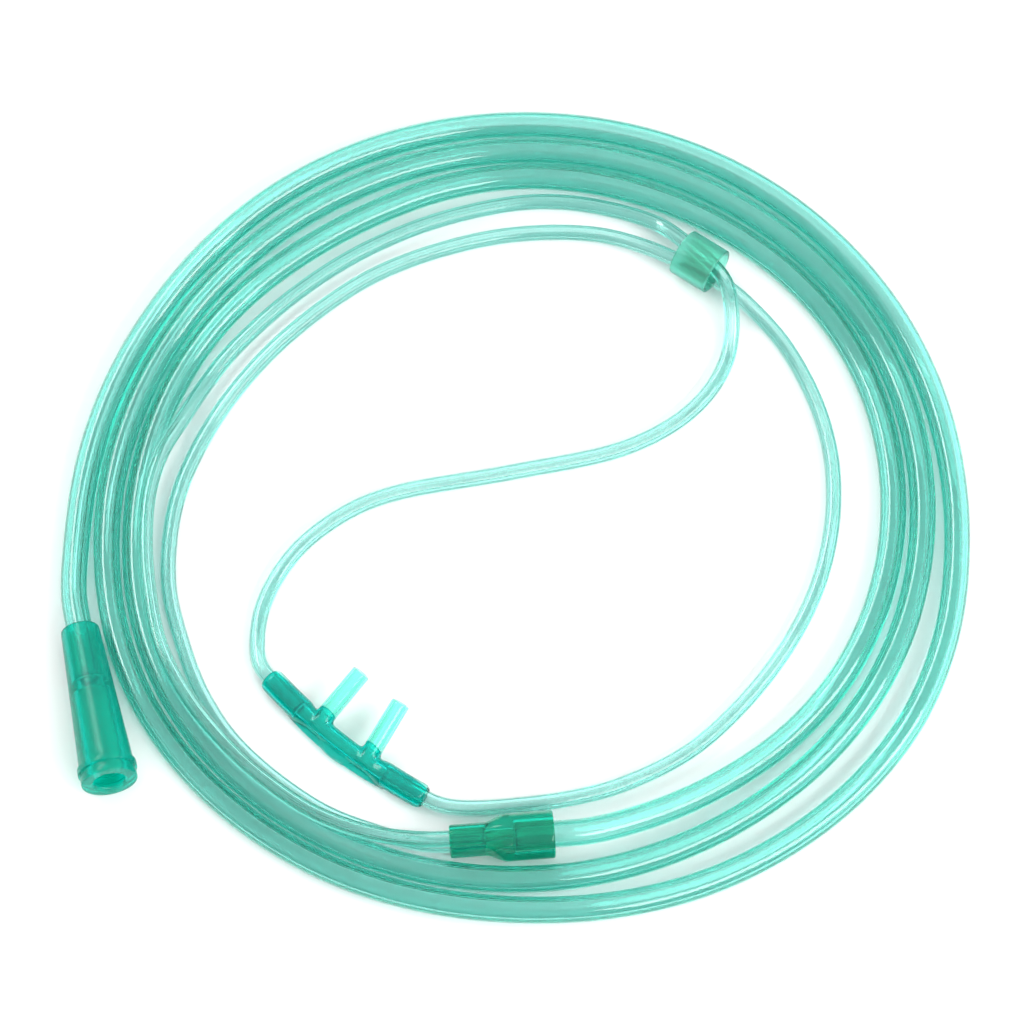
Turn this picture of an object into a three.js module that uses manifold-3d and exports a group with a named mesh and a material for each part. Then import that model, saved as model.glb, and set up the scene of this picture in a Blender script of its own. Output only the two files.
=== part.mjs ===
// A nasal oxygen cannula, coiled as it comes out of its bag and laid on a level surface.
// Millimetres, +Z up. A thick supply tube runs from its connector round the coil to a junction,
// two thin tubes go on from there through a slider, and both end in the nasal piece.
import * as THREE from "three";
import { mergeVertices } from "three/addons/utils/BufferGeometryUtils.js";
import Module from "manifold-3d";

const wasm = await Module();
wasm.setup();

const FIT_GAP = 0.3; // between a tube and the socket or bore that it sits in
const MOULD_EDGE = 0.3; // chamfer on the moulded edges
const CUT_PAST = 1.0; // how far a cut runs past the face that it opens
const CUT_INTO = 0.5; // how far a bore runs into the one before it
const ROUND_SIDES = 32; // sides of the turned fittings

// Tubes: extruded soft PVC, solid here.
const SUPPLY_OD = 6.0;
const SUPPLY_SIDES = 10;
const THIN_OD = 3.6;
const THIN_SIDES = 8;

// The coil: its middle on the surface, and the turns as radii at every STATION degrees, clockwise from above.
const COIL_X = 26.5;
const COIL_Y = 9.43;
const STATION = 30;
const COIL_START = 210;
const COIL_RADII = [
  106.4, 98.9, 96.1, 97.4, 98.5, 99.5, 99.5, 99.8, 102.9, 101.3, 98.0, 97.5,
  96.4, 92.4, 89.7, 89.8, 91.6, 92.6, 93.1, 92.3, 92.1, 90.9, 90.8, 91.0,
  89.9, 85.9, 83.3, 81.6, 84.8, 85.8, 86.7, 85.6, 84.3, 81.8, 81.6,
];
const TURN_STEP = 12; // degrees between the tube's sections, the same on every turn, so that the turns nest
const COIL_FROM = 186;
const COIL_TO = -786;
const RISE_FROM = -762; // past here the tube climbs from the surface to the junction
const RISE_HEIGHT = 1.1;

// Supply connector: a conical barrel with the tube pushed into its narrow end and a socket in its mouth.
const CONNECTOR_AT = [-98.0, -31.0];
const CONNECTOR_TURN = -78.4;
const CONNECTOR_LENGTH = 39.0;
const CONNECTOR_NARROW_OD = 8.7;
const CONNECTOR_WIDE_OD = 12.4;
const CONNECTOR_SOCKET_DEPTH = 13.5;
const CONNECTOR_BORE = 4.4;
const CONNECTOR_WEB = 2.5; // length of the narrow bore between the two sockets
const MOUTH_ROOT_BORE = 6.4;
const MOUTH_BORE = 7.0;
const MOUTH_CHAMFER = 0.5;
const RIM_OD = 13.4;
const RIM_WIDTH = 1.6;
const RIM_GROOVE_OD = 12.0;
const RIM_GROOVE_WIDTH = 0.8;
const MOUTH_RING_OD = 12.7;
const MOUTH_RING_WIDTH = 1.7;
const EDGE_ROUND = 0.8;
const ROUND_BREAK = 0.3; // where a rounded edge's middle break lies, as a share of its radius

// Junction: a round body for the supply tube and an upright oval barrel for the two thin tubes.
const JUNCTION_AT = [8.4, -80.9];
const JUNCTION_TURN = 184.7;
const JUNCTION_OD = 10.8;
const JUNCTION_BODY_LENGTH = 10.6;
const JUNCTION_SHOULDER = 4.4; // length of the rounded step down to the barrel
const SHOULDER_BREAKS = [[0.35, 0.1], [0.7, 0.29]]; // shares of its length and of its drop
const JUNCTION_LENGTH = 23.2;
const JUNCTION_SOCKET_DEPTH = 9.0;
const JUNCTION_BORE = 2.2;
const JUNCTION_EDGE = 0.2;
const BARREL_WALL = 0.9;
const BARREL_ROOT = 1.0; // how far the barrel starts inside the round body
const THIN_PITCH = 3.9; // between the two thin tubes, one above the other in the barrel
const BARREL_SOCKET_DEPTH = 8.0;
const BARREL_EDGE = 0.5;

// Slider: a short thick-walled sleeve round both thin tubes.
const SLIDER_AT = [42.3, 61.3];
const SLIDER_TURN = -34.7;
const SLIDER_OD = 11.0;
const SLIDER_WALL = 1.0;
const SLIDER_LENGTH = 9.5;
const SLIDER_EDGE = 0.4;

// Nasal piece: a bowed tube with thick ends, a waist with a lip, and two open prongs.
const NASAL_AT = [-37.7, -56.6];
const NASAL_TURN = -39.8;
const NASAL_CHORD = 46.6;
const NASAL_BOW = 2.1;
const NASAL_END_OD = 5.8;
const NASAL_END_LENGTH = 11.5;
const NASAL_TAPER = 3.5;
const NASAL_WAIST_OD = 4.4;
const NASAL_SOCKET_DEPTH = 11.0;
const NASAL_CHANNEL = 2.4;
const NASAL_EDGE = 0.9;
const PRONG_SPACING = 14.0;
const PRONG_LENGTH = 15.6;
const PRONG_OD = 4.4;
const PRONG_BORE = 3.0;
const PRONG_RISE = 25; // degrees above the surface
const PRONG_TOE_IN = 5;
const LIP_LENGTH = 12.0;
const LIP_REACH = 3.9;
const LIP_THICK = 1.1;
const LIP_ROOT = 0.3; // how far the lip starts above the waist's underside

// The two thin tubes' routes about the coil's middle, from junction to nasal piece.
const LEFT_ROUTE = [
  [-19.5, -83.1, 7.5], [-31.5, -81.8, 7.8], [-45.0, -76.8, 8.2], [-54.9, -69.8, 8.2], [-63.2, -62.1, 8.1],
  [-72.8, -50.0, 8.1], [-79.7, -36.4, 8.2], [-82.8, -21.2, 8.0], [-83.7, -9.5, 7.8], [-83.1, 2.0, 7.6],
  [-80.6, 11.8, 6.9], [-78.2, 17.2, 5.6], [-75.7, 22.3, 4.0], [-71.3, 31.0, 2.1], [-65.6, 39.6, 1.8],
  [-52.1, 53.7, 1.8], [-36.8, 65.1, 1.8], [-19.4, 73.5, 1.8], [0.0, 78.4, 1.8], [12.0, 78.6, 1.8],
  [24.5, 76.0, 2.0], [33.5, 72.1, 2.9], [39.6, 65.7, 5.7], [42.9, 62.1, 7.0], [46.1, 58.4, 7.4],
  [48.4, 54.9, 7.3], [49.6, 48.4, 4.9], [49.1, 40.4, 1.9], [46.8, 34.0, 1.8], [42.7, 27.7, 1.8],
  [35.7, 21.3, 1.8], [23.5, 15.0, 1.8], [-1.4, 9.3, 1.8], [-28.6, 3.8, 1.8], [-38.8, -0.9, 1.8],
  [-49.6, -10.1, 1.8], [-56.6, -22.5, 1.8], [-58.2, -31.5, 2.0],
];
const RIGHT_ROUTE = [
  [-20.5, -82.6, 3.5], [-31.0, -79.3, 2.4], [-44.4, -73.2, 1.8], [-62.0, -58.5, 1.8], [-70.3, -45.9, 1.8],
  [-75.4, -32.1, 1.8], [-78.5, -18.2, 1.8], [-77.0, 2.4, 1.8], [-69.8, 20.8, 1.8], [-59.6, 36.2, 1.8],
  [-47.3, 48.9, 1.8], [-33.4, 59.3, 1.8], [-17.4, 66.3, 1.8], [0.0, 70.3, 1.8], [18.6, 70.2, 2.0],
  [30.7, 66.2, 2.9], [37.3, 62.4, 4.0], [41.8, 60.6, 3.4], [45.7, 57.9, 3.35], [49.6, 55.2, 3.3],
  [57.9, 46.9, 2.0], [62.5, 40.4, 1.8], [68.4, 27.7, 1.8], [71.6, 15.0, 1.8], [72.2, 2.4, 1.8],
  [70.6, -10.1, 1.8], [66.8, -22.5, 1.8], [60.5, -34.8, 1.8], [51.3, -47.4, 1.8], [38.8, -59.5, 1.8],
  [23.1, -67.8, 1.8], [12.0, -70.9, 1.8], [0.9, -72.5, 1.8], [-10.2, -73.4, 2.1],
];
const THIN_LEAD = 3.0; // straight run of a thin tube outside the nasal piece's end
const SUPPLY_LEAD = 8.0; // straight run of the supply tube outside its fittings

const CONNECTOR_PLASTIC = { color: 0x00b89f, roughness: 0.35, metalness: 0 };
const JUNCTION_PLASTIC = { color: 0x009878, roughness: 0.3, metalness: 0 };
const SLIDER_PLASTIC = { color: 0x5fcfb4, roughness: 0.45, metalness: 0 };
const NASAL_PLASTIC = { color: 0x00c4ae, roughness: 0.3, metalness: 0 };
const TUBE_PLASTIC = { color: 0x8ee6d0, roughness: 0.25, metalness: 0 };

const radians = THREE.MathUtils.degToRad;

/** A closed geometry as a solid that can be joined and cut. */
function solid(geometry) {
  const bare = geometry.clone();
  bare.deleteAttribute("normal");
  bare.deleteAttribute("uv");
  const merged = mergeVertices(bare, 1e-4);
  return new wasm.Manifold(
    new wasm.Mesh({
      numProp: 3,
      vertProperties: new Float32Array(merged.attributes.position.array),
      triVerts: new Uint32Array(merged.index.array),
    }),
  );
}

/** The solid's surface as a geometry. */
function geometryOf(made) {
  const mesh = made.getMesh();
  const geometry = new THREE.BufferGeometry();
  geometry.setAttribute("position", new THREE.BufferAttribute(new Float32Array(mesh.vertProperties), 3));
  geometry.setIndex(new THREE.BufferAttribute(new Uint32Array(mesh.triVerts), 1));
  geometry.computeVertexNormals();
  return geometry;
}

/** A body turned about +X from [x, radius] pairs, closed on the axis at both ends. */
function turned(outline, sides = ROUND_SIDES) {
  const first = outline[0];
  const last = outline[outline.length - 1];
  const closed = [[first[0], 0], ...outline, [last[0], 0]];
  const profile = closed.map(([x, radius]) => new THREE.Vector2(radius, x));
  return new THREE.LatheGeometry(profile, sides).rotateZ(-Math.PI / 2);
}

/** A turned bore or socket, from x0 to x1. */
const bore = (x0, x1, d0, d1 = d0) => solid(turned([[x0, d0 / 2], [x1, d1 / 2]]));

/** Turns a flat outline's extrusion about Z, so that it is extruded along +X. */
function alongX(shape, length) {
  const geometry = new THREE.ExtrudeGeometry(shape, { depth: length, bevelEnabled: false, curveSegments: 10 });
  return geometry.rotateX(Math.PI / 2).rotateZ(Math.PI / 2);
}

/** Bends what lies along X into an arc in the XY plane, its middle moved by -bow in Y. */
function bent([x, y, z], chord, bow) {
  const radius = (chord * chord) / (8 * bow) + bow / 2;
  const angle = x / radius;
  const reach = radius - y;
  return [reach * Math.sin(angle), radius - bow - reach * Math.cos(angle), z];
}

function bend(geometry, chord, bow) {
  const place = geometry.attributes.position;
  for (let i = 0; i < place.count; i++) {
    place.setXYZ(i, ...bent([place.getX(i), place.getY(i), place.getZ(i)], chord, bow));
  }
  return geometry;
}

/** A tube's middle line: its equal steps fall on its own points, and it never dips into the surface. */
class TubeCurve extends THREE.CatmullRomCurve3 {
  constructor(points, diameter) {
    super(points);
    this.lowest = diameter / 2;
  }
  getPointAt(t, target) {
    const point = this.getPoint(t, target);
    point.z = Math.max(point.z, this.lowest);
    return point;
  }
  getTangentAt(t, target) {
    return this.getTangent(t, target);
  }
}

/** A solid round rod along a curve, with one step for each span between the curve's points. */
function rod(curve, diameter, sides) {
  const section = new THREE.Shape();
  for (let i = 0; i < sides; i++) {
    const angle = (2 * Math.PI * (i + 0.5)) / sides;
    const corner = [(diameter / 2) * Math.cos(angle), (diameter / 2) * Math.sin(angle)];
    if (i === 0) section.moveTo(...corner);
    else section.lineTo(...corner);
  }
  section.closePath();
  const steps = curve.points.length - 1;
  return new THREE.ExtrudeGeometry(section, { steps, bevelEnabled: false, extrudePath: curve });
}

function supplyConnector() {
  const rimFrom = CONNECTOR_LENGTH - MOUTH_RING_WIDTH - RIM_GROOVE_WIDTH - RIM_WIDTH;
  const narrow = CONNECTOR_NARROW_OD / 2;
  const body = solid(
    turned([
      [0, narrow - EDGE_ROUND],
      [EDGE_ROUND * ROUND_BREAK, narrow - EDGE_ROUND * ROUND_BREAK],
      [EDGE_ROUND, narrow],
      [rimFrom, CONNECTOR_WIDE_OD / 2],
      [rimFrom, RIM_OD / 2 - MOULD_EDGE],
      [rimFrom + MOULD_EDGE, RIM_OD / 2],
      [rimFrom + RIM_WIDTH - MOULD_EDGE, RIM_OD / 2],
      [rimFrom + RIM_WIDTH, RIM_OD / 2 - MOULD_EDGE],
      [rimFrom + RIM_WIDTH, RIM_GROOVE_OD / 2],
      [rimFrom + RIM_WIDTH + RIM_GROOVE_WIDTH, RIM_GROOVE_OD / 2],
      [rimFrom + RIM_WIDTH + RIM_GROOVE_WIDTH, MOUTH_RING_OD / 2],
      [CONNECTOR_LENGTH - MOULD_EDGE, MOUTH_RING_OD / 2],
      [CONNECTOR_LENGTH, MOUTH_RING_OD / 2 - MOULD_EDGE],
    ]),
  );
  const webTo = CONNECTOR_SOCKET_DEPTH + CONNECTOR_WEB;
  const tubeSocket = bore(-CUT_PAST, CONNECTOR_SOCKET_DEPTH, SUPPLY_OD + 2 * FIT_GAP);
  const web = bore(CONNECTOR_SOCKET_DEPTH - CUT_INTO, webTo + CUT_INTO, CONNECTOR_BORE);
  const mouth = solid(
    turned([
      [webTo, MOUTH_ROOT_BORE / 2],
      [CONNECTOR_LENGTH - MOUTH_CHAMFER, MOUTH_BORE / 2],
      [CONNECTOR_LENGTH, MOUTH_BORE / 2 + MOUTH_CHAMFER],
      [CONNECTOR_LENGTH + CUT_PAST, MOUTH_BORE / 2 + MOUTH_CHAMFER],
    ]),
  );
  return geometryOf(body.subtract(tubeSocket).subtract(web).subtract(mouth));
}

/** An upright slot with round ends: two circles of the given width, one THIN_PITCH above the other. */
function uprightSlot(width) {
  const shape = new THREE.Shape();
  shape.absarc(0, THIN_PITCH / 2, width / 2, 0, Math.PI, false);
  shape.absarc(0, -THIN_PITCH / 2, width / 2, Math.PI, 2 * Math.PI, false);
  shape.closePath();
  return shape;
}

function junction() {
  const barrelWidth = THIN_OD + 2 * FIT_GAP + 2 * BARREL_WALL;
  const drop = JUNCTION_OD - barrelWidth;
  const body = solid(
    turned([
      [0, JUNCTION_OD / 2 - JUNCTION_EDGE],
      [JUNCTION_EDGE, JUNCTION_OD / 2],
      [JUNCTION_BODY_LENGTH, JUNCTION_OD / 2],
      ...SHOULDER_BREAKS.map(([along, down]) => [
        JUNCTION_BODY_LENGTH + JUNCTION_SHOULDER * along,
        JUNCTION_OD / 2 - drop * down,
      ]),
      [JUNCTION_BODY_LENGTH + JUNCTION_SHOULDER, barrelWidth / 2],
    ]),
  );
  const barrelFrom = JUNCTION_BODY_LENGTH - BARREL_ROOT;
  const barrel = solid(
    alongX(uprightSlot(barrelWidth), JUNCTION_LENGTH - BARREL_EDGE - barrelFrom).translate(barrelFrom, 0, 0),
  );
  const barrelTip = solid(
    alongX(uprightSlot(barrelWidth - 2 * BARREL_EDGE), JUNCTION_LENGTH - barrelFrom).translate(barrelFrom, 0, 0),
  );
  const supplySocket = bore(-CUT_PAST, JUNCTION_SOCKET_DEPTH, SUPPLY_OD + 2 * FIT_GAP);
  let made = body.add(barrel).add(barrelTip).subtract(supplySocket);
  const socketFrom = JUNCTION_LENGTH - BARREL_SOCKET_DEPTH;
  for (const height of [-THIN_PITCH / 2, THIN_PITCH / 2]) {
    const socket = turned([
      [socketFrom, THIN_OD / 2 + FIT_GAP],
      [JUNCTION_LENGTH + CUT_PAST, THIN_OD / 2 + FIT_GAP],
    ]);
    const channel = turned([
      [JUNCTION_SOCKET_DEPTH - CUT_INTO, JUNCTION_BORE / 2],
      [socketFrom + CUT_INTO, JUNCTION_BORE / 2],
    ]);
    made = made.subtract(solid(socket.translate(0, 0, height)));
    made = made.subtract(solid(channel.translate(0, 0, height)));
  }
  return geometryOf(made);
}

function slider() {
  const half = SLIDER_LENGTH / 2;
  const outer = SLIDER_OD / 2;
  const inner = outer - SLIDER_WALL;
  const sleeve = solid(
    turned([
      [-half, outer - SLIDER_EDGE],
      [-half + SLIDER_EDGE, outer],
      [half - SLIDER_EDGE, outer],
      [half, outer - SLIDER_EDGE],
    ]),
  );
  return geometryOf(sleeve.subtract(bore(-half - CUT_PAST, half + CUT_PAST, 2 * inner)));
}

function nasalPiece() {
  const half = NASAL_CHORD / 2;
  const end = NASAL_END_OD / 2;
  const waist = NASAL_WAIST_OD / 2;
  const halfOutline = [
    [half, end - NASAL_EDGE],
    [half - NASAL_EDGE * ROUND_BREAK, end - NASAL_EDGE * ROUND_BREAK],
    [half - NASAL_EDGE, end],
    [half - NASAL_END_LENGTH / 2, end],
    [half - NASAL_END_LENGTH, end],
    [half - NASAL_END_LENGTH - NASAL_TAPER / 2, (end + waist) / 2],
    [half - NASAL_END_LENGTH - NASAL_TAPER, waist],
    [half - NASAL_END_LENGTH - 2 * NASAL_TAPER, waist],
  ];
  const outline = [...halfOutline.map(([x, r]) => [-x, r]), [0, waist], ...halfOutline.reverse()];
  const body = solid(bend(turned(outline), NASAL_CHORD, NASAL_BOW));

  const lipShape = new THREE.Shape();
  lipShape.moveTo(-LIP_LENGTH / 2, 0);
  lipShape.absellipse(0, 0, LIP_LENGTH / 2, LIP_REACH, Math.PI, 2 * Math.PI, false);
  lipShape.closePath();
  const lip = solid(
    new THREE.ExtrudeGeometry(lipShape, { depth: LIP_THICK, bevelEnabled: false, curveSegments: 12 }).translate(
      0,
      -NASAL_BOW,
      LIP_ROOT - waist,
    ),
  );

  let made = body.add(lip);
  const prongs = [];
  for (const side of [-1, 1]) {
    const place = (geometry) =>
      geometry
        .rotateY(radians(-PRONG_RISE))
        .rotateZ(radians(90 + side * PRONG_TOE_IN))
        .translate((side * PRONG_SPACING) / 2, -NASAL_BOW, 0);
    const prong = turned([
      [0, PRONG_OD / 2],
      [PRONG_LENGTH - MOULD_EDGE, PRONG_OD / 2],
      [PRONG_LENGTH, PRONG_OD / 2 - MOULD_EDGE],
    ]);
    made = made.add(solid(place(prong)));
    prongs.push(solid(place(turned([[0, PRONG_BORE / 2], [PRONG_LENGTH + CUT_PAST, PRONG_BORE / 2]]))));
  }
  const channel = turned([
    [-half - CUT_PAST, THIN_OD / 2 + FIT_GAP],
    [-half + NASAL_SOCKET_DEPTH, THIN_OD / 2 + FIT_GAP],
    [-half + NASAL_SOCKET_DEPTH, NASAL_CHANNEL / 2],
    [0, NASAL_CHANNEL / 2],
    [half - NASAL_SOCKET_DEPTH, NASAL_CHANNEL / 2],
    [half - NASAL_SOCKET_DEPTH, THIN_OD / 2 + FIT_GAP],
    [half + CUT_PAST, THIN_OD / 2 + FIT_GAP],
  ]);
  made = made.subtract(solid(bend(channel, NASAL_CHORD, NASAL_BOW)));
  for (const hole of prongs) made = made.subtract(hole);
  return geometryOf(made);
}

/** A named mesh in the coil's frame, turned about Z by degrees and raised at its mouth by tilt degrees. */
function piece(name, geometry, look, [x, y] = [0, 0], z = 0, turn = 0, tilt = 0) {
  const mesh = new THREE.Mesh(geometry, new THREE.MeshStandardMaterial(look));
  mesh.name = name;
  mesh.position.set(x, y, z);
  mesh.rotation.set(0, radians(-tilt), radians(turn), "ZYX");
  mesh.updateMatrix();
  return mesh;
}

/** The place of a point of a fitting's own frame. */
const placeOn = (mesh, x, y = 0, z = 0) => new THREE.Vector3(x, y, z).applyMatrix4(mesh.matrix);

// The connector lies on its rim and on its narrow end.
const rimAt = CONNECTOR_LENGTH - MOUTH_RING_WIDTH - RIM_GROOVE_WIDTH - RIM_WIDTH + MOULD_EDGE;
const connectorTilt = (Math.asin((RIM_OD - CONNECTOR_NARROW_OD) / 2 / (rimAt - EDGE_ROUND)) * 180) / Math.PI;
const connectorHeight =
  (CONNECTOR_NARROW_OD / 2) * Math.cos(radians(connectorTilt)) - EDGE_ROUND * Math.sin(radians(connectorTilt));
const connectorMesh = piece(
  "supply_connector",
  supplyConnector(),
  CONNECTOR_PLASTIC,
  CONNECTOR_AT,
  connectorHeight,
  CONNECTOR_TURN,
  connectorTilt,
);
const junctionMesh = piece(
  "y_junction",
  junction(),
  JUNCTION_PLASTIC,
  JUNCTION_AT,
  JUNCTION_OD / 2,
  JUNCTION_TURN,
);
const sliderMesh = piece("slider", slider(), SLIDER_PLASTIC, SLIDER_AT, SLIDER_OD / 2, SLIDER_TURN);
const nasalMesh = piece("nasal_piece", nasalPiece(), NASAL_PLASTIC, NASAL_AT, NASAL_END_OD / 2, NASAL_TURN);

/** The coiled part of the supply tube: its stations' radii, smoothed, at every TURN_STEP degrees. */
function coilPoints() {
  const stations = COIL_RADII.map((radius, i) => new THREE.Vector3(COIL_START - i * STATION, radius, 0));
  const smooth = new THREE.CatmullRomCurve3(stations, false, "catmullrom", 0.5);
  const sweep = STATION * (stations.length - 1);
  const points = [];
  for (let angle = COIL_FROM; angle >= COIL_TO; angle -= TURN_STEP) {
    const radius = smooth.getPoint((COIL_START - angle) / sweep).y;
    const climb = THREE.MathUtils.smoothstep(RISE_FROM - angle, 0, RISE_FROM - COIL_TO);
    const turn = radians(angle);
    points.push(
      new THREE.Vector3(radius * Math.cos(turn), radius * Math.sin(turn), SUPPLY_OD / 2 + RISE_HEIGHT * climb),
    );
  }
  return points;
}

const supplyCurve = new TubeCurve(
  [
    placeOn(connectorMesh, CONNECTOR_SOCKET_DEPTH - FIT_GAP),
    placeOn(connectorMesh, 0),
    placeOn(connectorMesh, -SUPPLY_LEAD),
    ...coilPoints(),
    placeOn(junctionMesh, -SUPPLY_LEAD),
    placeOn(junctionMesh, 0),
    placeOn(junctionMesh, JUNCTION_SOCKET_DEPTH - FIT_GAP),
  ],
  SUPPLY_OD,
);

/** A thin tube from the junction's barrel at a height, along a route, into one end of the nasal piece. */
function thinCurve(height, route, side) {
  const atEnd = (out) =>
    placeOn(nasalMesh, ...bent([side * (NASAL_CHORD / 2 + out), 0, 0], NASAL_CHORD, NASAL_BOW));
  return new TubeCurve(
    [
      placeOn(junctionMesh, JUNCTION_LENGTH - BARREL_SOCKET_DEPTH + FIT_GAP, 0, height),
      placeOn(junctionMesh, JUNCTION_LENGTH, 0, height),
      ...route.map((at) => new THREE.Vector3(...at)),
      atEnd(THIN_LEAD),
      atEnd(0),
      atEnd(-NASAL_SOCKET_DEPTH / 2),
      atEnd(FIT_GAP - NASAL_SOCKET_DEPTH),
    ],
    THIN_OD,
  );
}

const leftCurve = thinCurve(THIN_PITCH / 2, LEFT_ROUTE, -1);
const rightCurve = thinCurve(-THIN_PITCH / 2, RIGHT_ROUTE, 1);

const cannula = new THREE.Group();
cannula.position.set(COIL_X, COIL_Y, 0);
cannula.add(
  connectorMesh,
  piece("supply_tube", rod(supplyCurve, SUPPLY_OD, SUPPLY_SIDES), TUBE_PLASTIC),
  junctionMesh,
  piece("thin_tube_left", rod(leftCurve, THIN_OD, THIN_SIDES), TUBE_PLASTIC),
  piece("thin_tube_right", rod(rightCurve, THIN_OD, THIN_SIDES), TUBE_PLASTIC),
  sliderMesh,
  nasalMesh,
);

const part = new THREE.Group();
part.add(cannula);

export default part;
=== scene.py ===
"""A coiled nasal oxygen cannula of clear green soft PVC on a pale floor, laid out as an add-on.

Each piece has an operator of its own. Lengths in the tables are millimetres about the coil's
middle, as in the model; everything that reaches Blender is in metres in the model's frame.
"""
import math

import bpy
import numpy as np
from bpy.props import FloatProperty, FloatVectorProperty, IntProperty, PointerProperty
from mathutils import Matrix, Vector


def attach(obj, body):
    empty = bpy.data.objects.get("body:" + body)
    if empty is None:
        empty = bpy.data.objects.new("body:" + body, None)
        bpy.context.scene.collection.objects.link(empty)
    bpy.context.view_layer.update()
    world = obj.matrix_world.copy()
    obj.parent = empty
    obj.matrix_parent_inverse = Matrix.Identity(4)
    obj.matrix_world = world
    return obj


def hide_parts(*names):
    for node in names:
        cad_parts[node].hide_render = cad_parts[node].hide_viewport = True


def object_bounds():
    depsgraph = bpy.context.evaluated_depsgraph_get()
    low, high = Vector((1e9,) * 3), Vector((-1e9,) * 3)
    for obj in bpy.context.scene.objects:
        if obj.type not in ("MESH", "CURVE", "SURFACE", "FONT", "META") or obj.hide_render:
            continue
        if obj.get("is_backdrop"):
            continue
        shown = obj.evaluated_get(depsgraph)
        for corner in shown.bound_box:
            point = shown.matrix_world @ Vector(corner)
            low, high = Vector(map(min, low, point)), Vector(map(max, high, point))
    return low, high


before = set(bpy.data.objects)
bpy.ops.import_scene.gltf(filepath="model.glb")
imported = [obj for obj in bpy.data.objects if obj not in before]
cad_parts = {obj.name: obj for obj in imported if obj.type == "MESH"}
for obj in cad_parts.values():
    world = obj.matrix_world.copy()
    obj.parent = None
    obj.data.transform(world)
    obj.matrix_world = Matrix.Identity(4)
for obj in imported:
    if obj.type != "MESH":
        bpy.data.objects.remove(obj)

bl_info = {
    "name": "Nasal oxygen cannula",
    "version": (1, 0, 0),
    "blender": (4, 5, 0),
    "location": "View3D > Sidebar > Cannula",
    "description": "Builds a coiled oxygen cannula with its fittings",
    "category": "Add Mesh",
}

MM = 0.001
COIL_MIDDLE = (26.5, 9.43, 0.0)


# Sizes, in millimetres and degrees

# What a tube's end stays short of the bottom of its socket.
FIT_GAP = 0.3
# The small round that a mould leaves on an edge.
MOULD_EDGE = 0.3
SUPPLY_OD = 6.0
THIN_OD = 3.6
SUPPLY_LOBES = 6
SUPPLY_LOBE_DEPTH = 0.12
THIN_LOBES = 5
THIN_LOBE_DEPTH = 0.09

# The coil's radius at every 30 degrees, from the connector clockwise to the junction.
STATION = 30
COIL_START = 210
COIL_RADII = [
    106.4, 98.9, 96.1, 97.4, 98.5, 99.5, 99.5, 99.8, 102.9, 101.3, 98.0, 97.5,
    96.4, 92.4, 89.7, 89.8, 91.6, 92.6, 93.1, 92.3, 92.1, 90.9, 90.8, 91.0,
    89.9, 85.9, 83.3, 81.6, 84.8, 85.8, 86.7, 85.6, 84.3, 81.8, 81.6,
]
PER_STATION = 30
TURN_STEP = 12
COIL_FROM = 186
COIL_TO = -786
RISE_FROM = -762
RISE_HEIGHT = 1.1
SUPPLY_LEAD = 8.0
THIN_LEAD = 3.0
# Distance between a tube's rings, and the length over which its route is softened.
SUPPLY_STEP = 2.4
SUPPLY_SOFTEN = 6.0
THIN_STEP = 1.6
THIN_SOFTEN = 3.2

CONNECTOR_AT = (-98.0, -31.0)
CONNECTOR_TURN = -78.4
CONNECTOR_LENGTH = 39.0
CONNECTOR_NARROW_OD = 8.7
CONNECTOR_WIDE_OD = 12.4
CONNECTOR_SOCKET_DEPTH = 13.5
RIM_OD = 13.4
RIM_FROM = 34.9
EDGE_ROUND = 0.8
# Closed outline of the connector's wall: place along its axis, radius and rounding of the corner.
CONNECTOR_OUTLINE = [
    (0, CONNECTOR_NARROW_OD / 2, EDGE_ROUND), (RIM_FROM, CONNECTOR_WIDE_OD / 2, 0.2),
    (RIM_FROM, RIM_OD / 2, 0.3), (36.5, RIM_OD / 2, 0.3), (36.5, 6.0, 0.2),
    (37.3, 6.0, 0.2), (37.3, 6.35, 0.3), (CONNECTOR_LENGTH, 6.35, 0.4), (CONNECTOR_LENGTH, 4.0, 0.3),
    (38.5, 3.5, 0.3), (16.0, 3.2, 0.2), (16.0, 2.2, 0.2), (CONNECTOR_SOCKET_DEPTH, 2.2, 0.2),
    (CONNECTOR_SOCKET_DEPTH, 3.3, 0.1), (0, 3.3, 0.3),
]
CONNECTOR_SPAN = 1.5
ROUND_SIDES = 96

JUNCTION_AT = (8.4, -80.9)
JUNCTION_TURN = 184.7
JUNCTION_OD = 10.8
JUNCTION_LENGTH = 23.2
JUNCTION_SOCKET_DEPTH = 9.0
JUNCTION_SOCKET_RADIUS = 3.3
BARREL_SOCKET_DEPTH = 8.0
BARREL_SOCKET_RADIUS = 2.1
BARREL_RADIUS = 3.0
THIN_PITCH = 3.9
SHOULDER_FROM = 10.4
SHOULDER_LENGTH = 5.0
CHANNEL_FROM = 8.0
CHANNEL_RADIUS = 1.1
# The ridges that run down the shoulder on its four diagonals.
RIDGE_FROM = 10.0
RIDGE_TO = 16.5
RIDGE_HALF_WIDTH = 0.35
RIDGE_TOP = 5.3
RIDGE_TOP_FROM = 10.6
RIDGE_SLOPE = 0.42
RIDGE_BLEND = 0.4
JUNCTION_EDGE = 0.6
SOCKET_EDGE = 0.25

SLIDER_AT = (42.3, 61.3)
SLIDER_TURN = -34.7
SLIDER_OD = 11.0
SLIDER_LENGTH = 9.5
SLIDER_BORE = 9.0
SLIDER_SPAN = 1.0

NASAL_AT = (-37.7, -56.6)
NASAL_TURN = -39.8
NASAL_CHORD = 46.6
NASAL_BOW = 2.1
NASAL_END_OD = 5.8
NASAL_SOCKET_DEPTH = 11.0
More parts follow.
